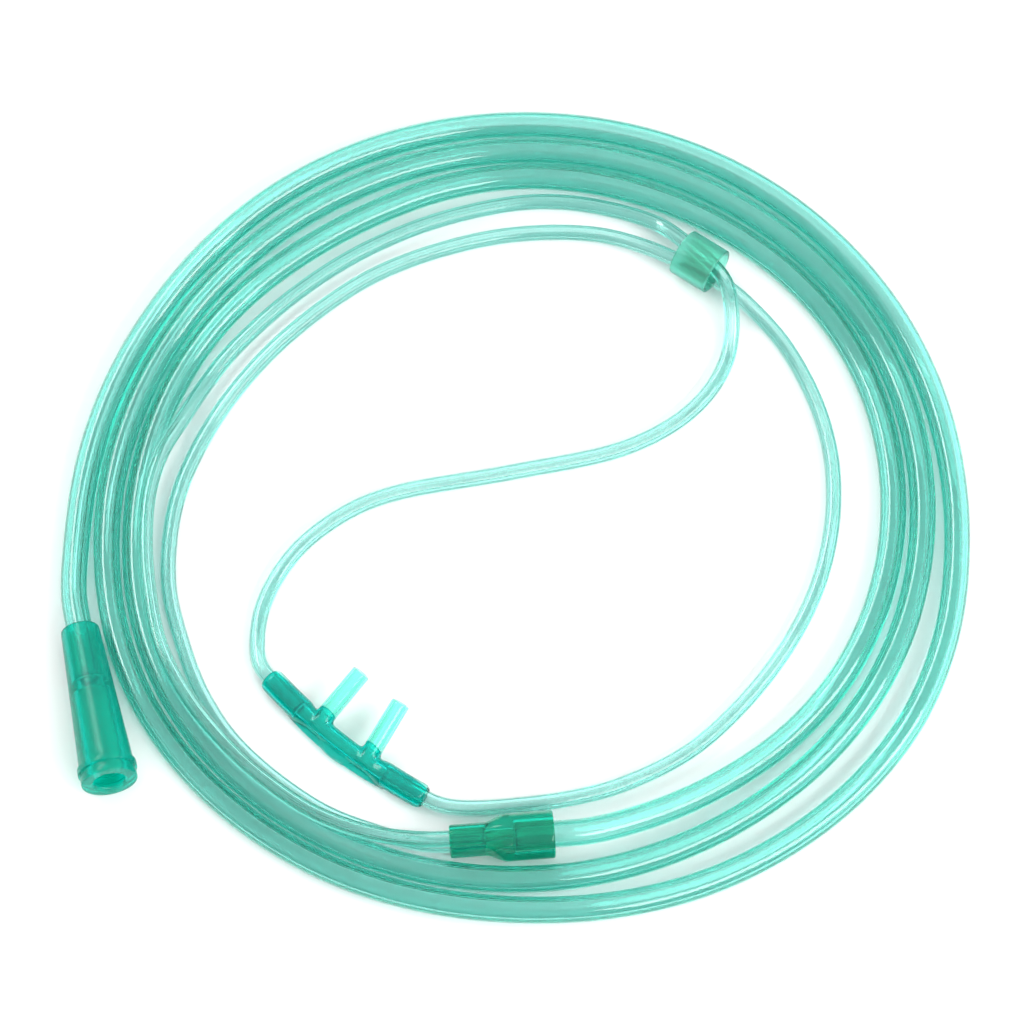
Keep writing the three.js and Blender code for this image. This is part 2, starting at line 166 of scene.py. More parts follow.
# Radius of the arc that has this chord and bow.
NASAL_ARC = NASAL_CHORD**2 / (8 * NASAL_BOW) + NASAL_BOW / 2
PRONG_SPACING = 14.0
PRONG_LENGTH = 15.6
PRONG_OD = 4.4
PRONG_BORE = 3.0
PRONG_RISE = 25
PRONG_TOE_IN = 5
PRONG_CLEAR_FROM = 3.4
PRONG_TIP_EDGE = 0.5
PRONG_FILLET = 1.2
WAIST_RADIUS = 2.2
END_THICKER_BY = 0.7
END_FROM = 8.0
END_LENGTH = 4.5
END_ROUND = 2.2
# The thin wing along the inside of the bow.
WING_Z = -1.3
WING_HALF_THICKNESS = 0.4
WING_REACH = 3.3
WING_TAPER = 0.5
WING_TAPER_OVER = 13
WING_TO = 13.5
# The half-round tab in the middle of the wing.
TAB_Z = -0.8
TAB_HALF_THICKNESS = 0.75
TAB_HALF_WIDTH = 5.6
TAB_REACH = 3.7
RIM_BLEND = 0.4
NASAL_SOCKET_RADIUS = 2.1
NASAL_CHANNEL_RADIUS = 1.2
BORE_EDGE = 0.3
# Cell of the grids on which the junction and the nose piece are worked out.
CELL = 0.2

LEFT_ROUTE = [
    (-19.5, -83.1, 7.5), (-31.5, -81.8, 7.8), (-45.0, -76.8, 8.2), (-54.9, -69.8, 8.2), (-63.2, -62.1, 8.1),
    (-72.8, -50.0, 8.1), (-79.7, -36.4, 8.2), (-82.8, -21.2, 8.0), (-83.7, -9.5, 7.8), (-83.1, 2.0, 7.6),
    (-80.6, 11.8, 6.9), (-78.2, 17.2, 5.6), (-75.7, 22.3, 4.0), (-71.3, 31.0, 2.1), (-65.6, 39.6, 1.8),
    (-52.1, 53.7, 1.8), (-36.8, 65.1, 1.8), (-19.4, 73.5, 1.8), (0.0, 78.4, 1.8), (12.0, 78.6, 1.8),
    (24.5, 76.0, 2.0), (33.5, 72.1, 2.9), (39.6, 65.7, 5.7), (42.9, 62.1, 7.0), (46.1, 58.4, 7.4),
    (48.4, 54.9, 7.3), (49.6, 48.4, 4.9), (49.1, 40.4, 1.9), (46.8, 34.0, 1.8), (42.7, 27.7, 1.8),
    (35.7, 21.3, 1.8), (23.5, 15.0, 1.8), (-1.4, 9.3, 1.8), (-28.6, 3.8, 1.8), (-38.8, -0.9, 1.8),
    (-49.6, -10.1, 1.8), (-56.6, -22.5, 1.8), (-58.2, -31.5, 2.0),
]
RIGHT_ROUTE = [
    (-20.5, -82.6, 3.5), (-31.0, -79.3, 2.4), (-44.4, -73.2, 1.8), (-62.0, -58.5, 1.8), (-70.3, -45.9, 1.8),
    (-75.4, -32.1, 1.8), (-78.5, -18.2, 1.8), (-77.0, 2.4, 1.8), (-69.8, 20.8, 1.8), (-59.6, 36.2, 1.8),
    (-47.3, 48.9, 1.8), (-33.4, 59.3, 1.8), (-17.4, 66.3, 1.8), (0.0, 70.3, 1.8), (18.6, 70.2, 2.0),
    (30.7, 66.2, 2.9), (37.3, 62.4, 4.0), (41.8, 60.6, 3.4), (45.7, 57.9, 3.35), (49.6, 55.2, 3.3),
    (57.9, 46.9, 2.0), (62.5, 40.4, 1.8), (68.4, 27.7, 1.8), (71.6, 15.0, 1.8), (72.2, 2.4, 1.8),
    (70.6, -10.1, 1.8), (66.8, -22.5, 1.8), (60.5, -34.8, 1.8), (51.3, -47.4, 1.8), (38.8, -59.5, 1.8),
    (23.1, -67.8, 1.8), (12.0, -70.9, 1.8), (0.9, -72.5, 1.8), (-10.2, -73.4, 2.1),
]


# Places

def matrix_of(at, height, turn, tilt=0.0):
    """4x4 placement in millimetres about the coil's middle: turned about Z, nose raised by tilt."""
    a, b = math.radians(turn), math.radians(tilt)
    forward = np.array([math.cos(a) * math.cos(b), math.sin(a) * math.cos(b), math.sin(b)])
    side = np.array([-math.sin(a), math.cos(a), 0.0])
    up = np.cross(forward, side)
    made = np.eye(4)
    made[:3, :3] = np.stack([forward, side, up], axis=1)
    made[:3, 3] = (at[0], at[1], height)
    return made


def put(matrix, points):
    """Points of a fitting's own frame, placed about the coil's middle."""
    points = np.asarray(points, float).reshape(-1, 3)
    return points @ matrix[:3, :3].T + matrix[:3, 3]


# The connector rests on its rim and on the rounded edge of its narrow end, so its axis tilts.
CONNECTOR_SPREAD = (RIM_OD - CONNECTOR_NARROW_OD) / 2
CONNECTOR_TILT = math.degrees(math.asin(CONNECTOR_SPREAD / (RIM_FROM + MOULD_EDGE - EDGE_ROUND)))
CONNECTOR = matrix_of(
    CONNECTOR_AT,
    CONNECTOR_NARROW_OD / 2 * math.cos(math.radians(CONNECTOR_TILT))
    - EDGE_ROUND * math.sin(math.radians(CONNECTOR_TILT)),
    CONNECTOR_TURN,
    CONNECTOR_TILT,
)
JUNCTION = matrix_of(JUNCTION_AT, JUNCTION_OD / 2, JUNCTION_TURN)
SLIDER = matrix_of(SLIDER_AT, SLIDER_OD / 2, SLIDER_TURN)
NASAL = matrix_of(NASAL_AT, NASAL_END_OD / 2, NASAL_TURN)


def bent(points):
    """The nose piece's arc: what lies along X is bent into an arc whose middle moves by -bow in Y."""
    x, y, z = np.moveaxis(np.asarray(points, float), -1, 0)
    angle = x / NASAL_ARC
    reach = NASAL_ARC - y
    return np.stack([reach * np.sin(angle), NASAL_ARC - NASAL_BOW - reach * np.cos(angle), z], axis=-1)


# Routes

def through(points, per_span=24):
    """A centripetal Catmull-Rom line through points, per_span places in each span."""
    p = np.asarray(points, float)
    p = np.vstack([2 * p[0] - p[1], p, 2 * p[-1] - p[-2]])
    gap = np.sqrt(np.linalg.norm(np.diff(p, axis=0), axis=1))[:, None]
    p0, p1, p2, p3 = p[:-3], p[1:-2], p[2:-1], p[3:]
    d0, d1, d2 = gap[:-2], gap[1:-1], gap[2:]
    t1 = ((p1 - p0) / d0 - (p2 - p0) / (d0 + d1) + (p2 - p1) / d1) * d1
    t2 = ((p2 - p1) / d1 - (p3 - p1) / (d1 + d2) + (p3 - p2) / d2) * d1
    t = np.linspace(0, 1, per_span, endpoint=False)[:, None, None]
    line = (
        (2 * t**3 - 3 * t**2 + 1) * p1 + (t**3 - 2 * t**2 + t) * t1
        + (3 * t**2 - 2 * t**3) * p2 + (t**3 - t**2) * t2
    )
    return np.vstack([np.moveaxis(line, 0, 1).reshape(-1, 3), p[-2]])


def evened(line, step, soften, lowest):
    """The line at equal steps, softened over a length, and never below the lowest height."""
    along = np.concatenate([[0], np.cumsum(np.linalg.norm(np.diff(line, axis=0), axis=1))])
    count = int(round(along[-1] / step)) + 1
    places = np.linspace(0, along[-1], count)
    even = np.stack([np.interp(places, along, line[:, i]) for i in range(3)], axis=1)
    reach = int(round(soften / step))
    weights = np.hanning(2 * reach + 3)[1:-1]
    weights /= weights.sum()
    before = 2 * even[0] - even[reach:0:-1]
    after = 2 * even[-1] - even[-2:-reach - 2:-1]
    padded = np.vstack([before, even, after])
    even = np.stack([np.convolve(padded[:, i], weights, "valid") for i in range(3)], axis=1)
    even[:, 2] = np.maximum(even[:, 2], lowest)
    return even


def supply_line():
    """The supply tube's axis: out of the connector, clockwise round the coil and into the junction.

    The radius at an angle is read from the smooth line through the stations, and the last turn
    climbs by RISE_HEIGHT on a cubic ramp to the junction's socket.
    """
    stations = [(COIL_START - i * STATION, radius, 0.0) for i, radius in enumerate(COIL_RADII)]
    smooth = through(stations, PER_STATION)
    angle = np.arange(COIL_FROM, COIL_TO - 1, -TURN_STEP, dtype=float)
    radius = np.interp(-angle, -smooth[:, 0], smooth[:, 1])
    climb = np.clip((RISE_FROM - angle) / (RISE_FROM - COIL_TO), 0, 1)
    climb = climb**2 * (3 - 2 * climb)
    turn = np.radians(angle)
    height = SUPPLY_OD / 2 + RISE_HEIGHT * climb
    coil = np.stack([radius * np.cos(turn), radius * np.sin(turn), height], axis=1)
    start = put(CONNECTOR, [(CONNECTOR_SOCKET_DEPTH - FIT_GAP, 0, 0), (0, 0, 0), (-SUPPLY_LEAD, 0, 0)])
    end = put(JUNCTION, [(-SUPPLY_LEAD, 0, 0), (0, 0, 0), (JUNCTION_SOCKET_DEPTH - FIT_GAP, 0, 0)])
    return evened(through(np.vstack([start, coil, end])), SUPPLY_STEP, SUPPLY_SOFTEN, SUPPLY_OD / 2)


def thin_line(height, route, side):
    """A thin tube's axis: from its socket in the junction along a route into the nose piece's end.

    height is the socket's place across the junction, and side is -1 or 1 for the end it goes to.
    """
    deepest = JUNCTION_LENGTH - BARREL_SOCKET_DEPTH + FIT_GAP
    start = put(JUNCTION, [(deepest, 0, height), (JUNCTION_LENGTH, 0, height)])
    past_the_end = (THIN_LEAD, 0, -NASAL_SOCKET_DEPTH / 2, FIT_GAP - NASAL_SOCKET_DEPTH)
    ends = [(side * (NASAL_CHORD / 2 + out), 0, 0) for out in past_the_end]
    line = through(np.vstack([start, route, put(NASAL, bent(ends))]))
    return evened(line, THIN_STEP, THIN_SOFTEN, THIN_OD / 2)


# Meshes

def metres(points):
    """Millimetres about the coil's middle to metres in the model's frame."""
    return (np.asarray(points, float) + COIL_MIDDLE) * MM


def facing_out(points, faces):
    """The faces, all turned round if the volume that they enclose comes out negative."""
    a, b, c, d = (points[faces[:, i]] for i in range(4))
    volume = np.einsum("ij,ij->i", a, np.cross(b, c)) + np.einsum("ij,ij->i", a, np.cross(c, d))
    return faces if volume.sum() > 0 else faces[:, ::-1]


def add_piece(name, points, faces, material, body, node, uv=None):
    """Links a smooth mesh of points (mm about the coil's middle) and quads, and lets it ride a body."""
    mesh = bpy.data.meshes.new(name)
    points = metres(points)
    faces = np.ascontiguousarray(facing_out(points, np.asarray(faces, np.int32)))
    corners = faces.shape[1]
    mesh.vertices.add(len(points))
    mesh.vertices.foreach_set("co", points.astype(np.float32).ravel())
    mesh.loops.add(faces.size)
    mesh.loops.foreach_set("vertex_index", faces.ravel())
    mesh.polygons.add(len(faces))
    mesh.polygons.foreach_set("loop_start", np.arange(0, faces.size, corners, dtype=np.int32))
    mesh.polygons.foreach_set("loop_total", np.full(len(faces), corners, np.int32))
    mesh.polygons.foreach_set("use_smooth", np.full(len(faces), True))
    if uv is not None:
        layer = mesh.uv_layers.new(name="UVMap")
        layer.data.foreach_set("uv", np.asarray(uv, np.float32)[faces.ravel()].ravel())
    mesh.update()
    mesh.validate()
    piece = bpy.data.objects.new(name, mesh)
    bpy.context.scene.collection.objects.link(piece)
    mesh.materials.append(material)
    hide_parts(node)
    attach(piece, body)
    return piece


def ring_faces(rows, columns, close_rows=False):
    """Quads between neighbouring rows of a grid whose columns close round."""
    i = np.arange(rows if close_rows else rows - 1)[:, None]
    j = np.arange(columns)[None, :]
    i2, j2 = (i + 1) % rows, (j + 1) % columns
    quads = np.stack([i * columns + j, i * columns + j2, i2 * columns + j2, i2 * columns + j], axis=-1)
    return quads.reshape(-1, 4)


def hollow_tube(line, outer, lobes, lumen, depth, sides):
    """Points, faces and UV of a tube along line whose bore is a rounded star.

    A bore point lies at lumen + depth * cos(lobes * angle) from the line. Outer and bore have the
    same number of points round, and the rows close on themselves through both cut ends.
    """
    tangent = np.gradient(line, axis=0)
    tangent /= np.linalg.norm(tangent, axis=1)[:, None]
    side = np.cross(tangent, (0.0, 0.0, 1.0))
    side /= np.linalg.norm(side, axis=1)[:, None]
    up = np.cross(side, tangent)
    along = np.concatenate([[0], np.cumsum(np.linalg.norm(np.diff(line, axis=0), axis=1))])
    angle = np.linspace(0, 2 * np.pi, sides, endpoint=False)

    across = np.cos(angle)[:, None] * side[:, None] + np.sin(angle)[:, None] * up[:, None]
    wall = line[:, None] + outer * across
    bore = line[:, None] + (lumen + depth * np.cos(lobes * angle))[None, :, None] * across
    points = np.vstack([wall.reshape(-1, 3), bore[::-1].reshape(-1, 3)])
    count = 2 * len(line)
    faces = ring_faces(count, sides, close_rows=True)
    u = np.concatenate([along, along[::-1]])[:, None] * np.ones(sides)
    v = np.ones(count)[:, None] * np.linspace(0, 1, sides, endpoint=False)
    return points, faces, np.stack([u.ravel(), v.ravel()], axis=1)


def turned(profile, sides=ROUND_SIDES):
    """Points and faces of a closed profile of (x, radius) turned about X."""
    profile = np.asarray(profile, float)
    angle = np.linspace(0, 2 * np.pi, sides, endpoint=False)
    x = profile[:, :1] * np.ones(sides)
    points = np.stack([x, profile[:, 1:] * np.cos(angle), profile[:, 1:] * np.sin(angle)], axis=-1)
    return points.reshape(-1, 3), ring_faces(len(profile), sides, close_rows=True)


def rounded(corners, radius, steps=5):
    """A closed outline with each corner rounded: corners are (x, r) or (x, r, own radius)."""
    made = []
    count = len(corners)
    for i, corner in enumerate(corners):
        here = np.array(corner[:2], float)
        back = np.array(corners[i - 1][:2], float) - here
        ahead = np.array(corners[(i + 1) % count][:2], float) - here
        wanted = corner[2] if len(corner) > 2 else radius
        cut = min(wanted, np.linalg.norm(back) * 0.45, np.linalg.norm(ahead) * 0.45)
        a = here + back / np.linalg.norm(back) * cut
        b = here + ahead / np.linalg.norm(ahead) * cut
        t = np.linspace(0, 1, steps)[:, None]
        made.append((1 - t) ** 2 * a + 2 * t * (1 - t) * here + t**2 * b)
    return np.vstack(made)


def refined(outline, longest):
    """The closed outline with places added so that no span is longer than given."""
    made = []
    for a, b in zip(outline, np.roll(outline, -1, axis=0)):
        count = max(1, int(math.ceil(np.linalg.norm(b - a) / longest)))
        made.append(a + (b - a) * (np.arange(count) / count)[:, None])
    return np.vstack(made)


def least(a, b, blend):
    """The lesser of two fields, blended where they are within blend of each other."""
    overlap = np.maximum(blend - np.abs(a - b), 0) / blend
    return np.minimum(a, b) - overlap**2 * blend / 4


def most(a, b, blend):
    """The greater of two fields, blended in the same way."""
    return -least(-a, -b, blend)


# How far apart a field's slope is measured, as a share of a cell, and how often points are moved.
SLOPE_SHARE = 0.05
SETTLING_STEPS = 3


def skin_of(field, low, high, step=CELL):
    """Points and quads of the surface where field is 0, by surface nets.

    Each grid cell that the surface crosses gets one point, at the mean of the crossings on its
    edges, and each crossed grid edge a quad round it. The points then move onto the surface.
    """
    axes = [np.arange(a, b + step, step) for a, b in zip(low, high)]
    value = field(*np.meshgrid(*axes, indexing="ij"))
    inside = value < 0
    shape = np.array(value.shape)
    cells = tuple(shape - 1)
    total, hits = np.zeros(cells + (3,)), np.zeros(cells)
    edges = []
    for axis in range(3):
        near = [slice(None)] * 3
        far = [slice(None)] * 3
        near[axis], far[axis] = slice(None, -1), slice(1, None)
        a, b = value[tuple(near)], value[tuple(far)]
        crossed = inside[tuple(near)] != inside[tuple(far)]
        share = np.where(crossed, a / np.where(crossed, a - b, 1.0), 0.0)
        others = [i for i in range(3) if i != axis]
        for first in (0, 1):
            for second in (0, 1):
                part = [slice(None)] * 3
                part[others[0]] = slice(first, first + cells[others[0]])
                part[others[1]] = slice(second, second + cells[others[1]])
                part = tuple(part)
                weight = crossed[part].astype(float)
                hits += weight
                total[..., axis] += share[part] * weight
                total[..., others[0]] += first * weight
                total[..., others[1]] += second * weight
        edges.append((axis, others, crossed, inside[tuple(near)]))
    used = hits > 0
    index = np.full(cells, -1)
    index[used] = np.arange(used.sum())
    where = np.stack(np.nonzero(used), axis=1)
    points = np.array([a[0] for a in axes]) + (where + total[used] / hits[used][:, None]) * step
    quads = []
    for axis, others, crossed, starts_inside in edges:
        at = np.stack(np.nonzero(crossed), axis=1)
        at = at[(at[:, others] > 0).all(axis=1) & (at[:, others] < shape[others] - 1).all(axis=1)]
        ring = []
        for first, second in ((1, 1), (0, 1), (0, 0), (1, 0)):
            cell = at.copy()
            cell[:, others[0]] -= first
            cell[:, others[1]] -= second
            ring.append(index[tuple(cell.T)])
        quad = np.stack(ring, axis=1)
        turn = starts_inside[tuple(at.T)] ^ (axis == 1)
        quad[~turn] = quad[~turn][:, ::-1]
        quads.append(quad)
    small = step * SLOPE_SHARE
    for _ in range(SETTLING_STEPS):
        x, y, z = points.T
        off = field(x, y, z)
        slope = np.stack([
            field(x + small, y, z) - field(x - small, y, z),
            field(x, y + small, z) - field(x, y - small, z),
            field(x, y, z + small) - field(x, y, z - small),
        ], axis=1) / (2 * small)
        move = off[:, None] * slope / np.maximum((slope**2).sum(axis=1), 0.25)[:, None]
        length = np.linalg.norm(move, axis=1)[:, None]
        points = points - move * np.minimum(1, 0.5 * step / np.maximum(length, 1e-9))
    return points, np.vstack(quads)


# Materials

# Soft PVC bends light little where it meets itself, so this is lower than its 1.5 in air.
SOFT_IOR = 1.25
# A coat is smoother than its body: this much, and this share of the body's roughness more.
COAT_ROUGHNESS = 0.03
COAT_SHARE = 0.6
# Depth in millimetres that the grain's bump stands for at full strength.
GRAIN_DEPTH = 0.2


def linear(code):
    """An sRGB hex colour as linear red, green, blue and 1."""
    parts = [int(code[i:i + 2], 16) / 255 for i in (0, 2, 4)]
    return tuple(c / 12.92 if c <= 0.04045 else ((c + 0.055) / 1.055) ** 2.4 for c in parts) + (1.0,)


def add_node(tree, kind, values=None, links=None):
    """Adds a node of a kind, with values for its inputs and links into its inputs by name."""
    node = tree.nodes.new("ShaderNode" + kind)
    for name, value in (values or {}).items():
        node.inputs[name].default_value = value
    for name, output in (links or {}).items():
        tree.links.new(output, node.inputs[name])
    return node


def soft_pvc(name, surface, clear, tint, density, roughness, gloss, grain=0.0, grain_size=2.5):
    """Tinted soft PVC: a body that is clear to a share, under a glossy coat, round a tinting volume.

    The volume takes density * (1 - tint) of each colour away per metre. What isn't clear scatters
    light back in the surface colour. The grain's size is in millimetres and its strength a share.
    """
    material = bpy.data.materials.new(name)
    material.use_nodes = True
    tree = material.node_tree
    shader = tree.nodes["Principled BSDF"]
    shader.inputs["Base Color"].default_value = surface
    shader.inputs["Roughness"].default_value = roughness
    shader.inputs["IOR"].default_value = SOFT_IOR
    shader.inputs["Transmission Weight"].default_value = clear
    shader.inputs["Coat Weight"].default_value = gloss
    shader.inputs["Coat Roughness"].default_value = COAT_ROUGHNESS + roughness * COAT_SHARE
    volume = add_node(tree, "VolumeAbsorption", {"Color": tint, "Density": density})
    tree.links.new(volume.outputs["Volume"], tree.nodes["Material Output"].inputs["Volume"])
    if grain:
        place = add_node(tree, "TexCoord")
        noise = add_node(tree, "TexNoise", {"Scale": 1000 / grain_size, "Detail": 3.0},
                         {"Vector": place.outputs["Object"]})
        bump = add_node(tree, "Bump", {"Strength": grain, "Distance": GRAIN_DEPTH / 1000},
                        {"Height": noise.outputs["Fac"]})
        tree.links.new(bump.outputs["Normal"], shader.inputs["Normal"])
    return material


# Light and camera

# Strength of the white surroundings at the horizon and overhead, and where overhead begins.
HORIZON_LIGHT = 0.28
OVERHEAD_LIGHT = 0.98
SKY_TOP = 0.7
# Four walls of a tube on the way down to the floor, four on the way up again, and a few more.
TUBE_WALLS_SEEN_THROUGH = 12
FLOOR_BOUNCES = 2
FLOOR_REACH = 3.0
SOFTBOX_DISTANCE = 1.5
# Name, azimuth, elevation, width and height in degrees, and radiance.
SOFTBOXES = (
    ("front right softbox", -40, 40, 60, 18, 8.5),
    ("back left softbox", 140, 50, 40, 10, 8.0),
)
CAMERA_AIM = (-0.907, 0.223, 0.0)
CAMERA_ELEVATION = 65
CAMERA_DISTANCE = 1500
SENSOR_WIDTH = 36.0
# The picture is 1024 pixels wide and shows 4.4 of them to a millimetre at the coil.
LENS = SENSOR_WIDTH * 4.4 * CAMERA_DISTANCE / 1024


# Settings

class CannulaSettings(bpy.types.PropertyGroup):
    """What can be set before the pieces are made."""

    supply_bore: FloatProperty(
        name="Supply bore", description="Mean diameter of the supply tube's bore", unit="LENGTH",
        subtype="DISTANCE", default=0.0036, min=0.001, max=0.005,
    )
    thin_bore: FloatProperty(
        name="Thin bore", description="Mean diameter of the thin tubes' bore", unit="LENGTH",
        subtype="DISTANCE", default=0.002, min=0.0005, max=0.003,
    )
    tube_colour: FloatVectorProperty(
        name="Tube surface", description="Tint of the tubes' surface", subtype="COLOR", size=4,
        default=linear("ffffff"), min=0.0, max=1.0,
    )
    connector_colour: FloatVectorProperty(
        name="Connector", description="Colour of the supply connector", subtype="COLOR", size=4,
        default=linear("00e0cc"), min=0.0, max=1.0,
    )
    junction_colour: FloatVectorProperty(
        name="Junction", description="Colour of the junction", subtype="COLOR", size=4,
        default=linear("00dcc0"), min=0.0, max=1.0,
    )
    slider_colour: FloatVectorProperty(
        name="Slider", description="Colour of the sliding sleeve", subtype="COLOR", size=4,
        default=linear("c0fbea"), min=0.0, max=1.0,
    )
    nasal_colour: FloatVectorProperty(
        name="Nose piece", description="Colour of the nose piece", subtype="COLOR", size=4,
        default=linear("00e8dc"), min=0.0, max=1.0,
    )
    wall_sides: IntProperty(name="Sides", description="Points round a tube", default=48, min=12)
    light_power: FloatProperty(name="Light", description="Strength of the soft lights", default=1.0, min=0.0)


# Operators

class CANNULA_OT_camera(bpy.types.Operator):
    """Puts the camera where the photograph was taken from."""

    bl_idname = "cannula.camera"
    bl_label = "Camera"

    def execute(self, context):
        elevation = math.radians(CAMERA_ELEVATION)
        back = Vector((0, -math.cos(elevation), math.sin(elevation)))
        data = bpy.data.cameras.new("camera")
        data.sensor_width = SENSOR_WIDTH
        data.lens = LENS
        data.clip_start, data.clip_end = 0.05, 20.0
        camera = bpy.data.objects.new("camera", data)
        camera.location = Vector(metres(CAMERA_AIM)) + CAMERA_DISTANCE * MM * back
        camera.rotation_euler = (math.pi / 2 - elevation, 0, 0)
        context.scene.collection.objects.link(camera)
        context.scene.camera = camera
        return {"FINISHED"}


class CANNULA_OT_tubes(bpy.types.Operator):
    """Lays the supply tube and the two thin tubes."""

    bl_idname = "cannula.tubes"
    bl_label = "Tubes"

    def execute(self, context):
        # Extruded plasticised PVC: clear, dyed pale green, glossy from the die.
        settings = context.scene.cannula
        clear = soft_pvc("Clear green tube PVC", settings.tube_colour, clear=1.0,
                         tint=linear("27f2e6"), density=360.0, roughness=0.03, gloss=1.0)
        sides = settings.wall_sides
        wall = (SUPPLY_OD / 2, SUPPLY_LOBES, settings.supply_bore / 2 / MM, SUPPLY_LOBE_DEPTH, sides)
        mouth = put(CONNECTOR, (0, 0, 0))
        self.lay("supply_tube", supply_line(), wall, clear, mouth, SUPPLY_OD, "coiled")
        fewer = sides * 5 // 6
        wall = (THIN_OD / 2, THIN_LOBES, settings.thin_bore / 2 / MM, THIN_LOBE_DEPTH, fewer)
        for node, height, route, side in (
            ("thin_tube_left", THIN_PITCH / 2, LEFT_ROUTE, -1),
            ("thin_tube_right", -THIN_PITCH / 2, RIGHT_ROUTE, 1),
        ):
            mouth = put(JUNCTION, (JUNCTION_LENGTH, 0, height))
            self.lay(node, thin_line(height, route, side), wall, clear, mouth, THIN_OD, "loose")
        return {"FINISHED"}

    @staticmethod
    def lay(node, line, wall, material, mouth, diameter, lay):
        """One tube along a line; the mouth that it comes out of is not used."""
        points, faces, uv = hollow_tube(line, *wall)
        tube = add_piece(node + "_clear", points, faces, material, "cannula", node, uv)


class CANNULA_OT_connector(bpy.types.Operator):
    """Turns the flared supply connector."""

    bl_idname = "cannula.connector"
    bl_label = "Supply connector"

    def execute(self, context):
        colour = context.scene.cannula.connector_colour
        # Moulded PVC from an etched tool: satin, deep green, half clear.
        material = soft_pvc("Moulded green connector PVC", colour, clear=0.84,
                            tint=linear("00faf9"), density=520.0, roughness=0.26, gloss=0.15, grain=0.15)
        outline = refined(rounded(CONNECTOR_OUTLINE, MOULD_EDGE), CONNECTOR_SPAN)
        points, faces = turned(outline)
        add_piece("supply_connector_moulded", put(CONNECTOR, points), faces, material,
                  "cannula", "supply_connector")
        return {"FINISHED"}


class CANNULA_OT_junction(bpy.types.Operator):
    """Makes the junction from the supply tube to the two thin ones."""

    bl_idname = "cannula.junction"
    bl_label = "Junction"

    @staticmethod
    def field(x, y, z):
        """Round body, shoulder and upright oval barrel, less the three sockets and their channels."""
        t = np.clip((x - SHOULDER_FROM) / SHOULDER_LENGTH, 0, 1)
        t = t * t * (3 - 2 * t)
        half = JUNCTION_OD / 2 + (BARREL_RADIUS - JUNCTION_OD / 2) * t
        rise = THIN_PITCH / 2 * t
        body = np.hypot(y, np.maximum(np.abs(z) - rise, 0)) - half
        for sign in (-1, 1):
            across = (y + sign * z) / math.sqrt(2)
            outward = np.abs(y - sign * z) / math.sqrt(2)
            top = RIDGE_TOP - (x - RIDGE_TOP_FROM) * RIDGE_SLOPE
            ridge = np.maximum(np.abs(across) - RIDGE_HALF_WIDTH, outward - top)
            ridge = np.maximum(ridge, np.maximum(RIDGE_FROM - x, x - RIDGE_TO))
            body = least(body, ridge, RIDGE_BLEND)
        body = most(body, np.maximum(x - JUNCTION_LENGTH, -x), JUNCTION_EDGE)
        socket = np.maximum(np.hypot(y, z) - JUNCTION_SOCKET_RADIUS, x - JUNCTION_SOCKET_DEPTH)
        body = most(body, -socket, SOCKET_EDGE)
        for height in (-THIN_PITCH / 2, THIN_PITCH / 2):
            ring = np.hypot(y, z - height)
            fine = np.maximum(ring - BARREL_SOCKET_RADIUS, JUNCTION_LENGTH - BARREL_SOCKET_DEPTH - x)
            channel = np.maximum(ring - CHANNEL_RADIUS, CHANNEL_FROM - x)
            body = most(body, -np.minimum(fine, channel), SOCKET_EDGE)
        return body

    def execute(self, context):
        colour = context.scene.cannula.junction_colour
        # Moulded PVC from a polished tool: darker green, with glossy thick walls.
        material = soft_pvc("Moulded dark green junction PVC", colour, clear=0.9,
                            tint=linear("00f8f5"), density=520.0, roughness=0.08, gloss=0.3, grain=0.1)
        points, faces = skin_of(self.field, (-0.6, -6.2, -6.2), (23.8, 6.2, 6.2))
        add_piece("y_junction_moulded", put(JUNCTION, points), faces, material,
                  "cannula", "y_junction")
        return {"FINISHED"}


class CANNULA_OT_slider(bpy.types.Operator):
    """Cuts the frosted sleeve round the thin tubes."""

    bl_idname = "cannula.slider"
    bl_label = "Slider"

    def execute(self, context):
        colour = context.scene.cannula.slider_colour
        # A sleeve cut from extruded PVC with a ground surface: frosted, pale.
        material = soft_pvc("Frosted sleeve PVC", colour, clear=0.93,
                            tint=linear("27f6f3"), density=330.0, roughness=0.3, gloss=0.15, grain=0.15,
                            grain_size=1.1)
        half, outer, bore = SLIDER_LENGTH / 2, SLIDER_OD / 2, SLIDER_BORE / 2
        corners = [(-half, outer, 0.4), (half, outer, 0.4), (half, bore, 0.25), (-half, bore, 0.25)]
        points, faces = turned(refined(rounded(corners, MOULD_EDGE), SLIDER_SPAN))
        add_piece("slider_frosted", put(SLIDER, points), faces, material, "slider", "slider")
        return {"FINISHED"}


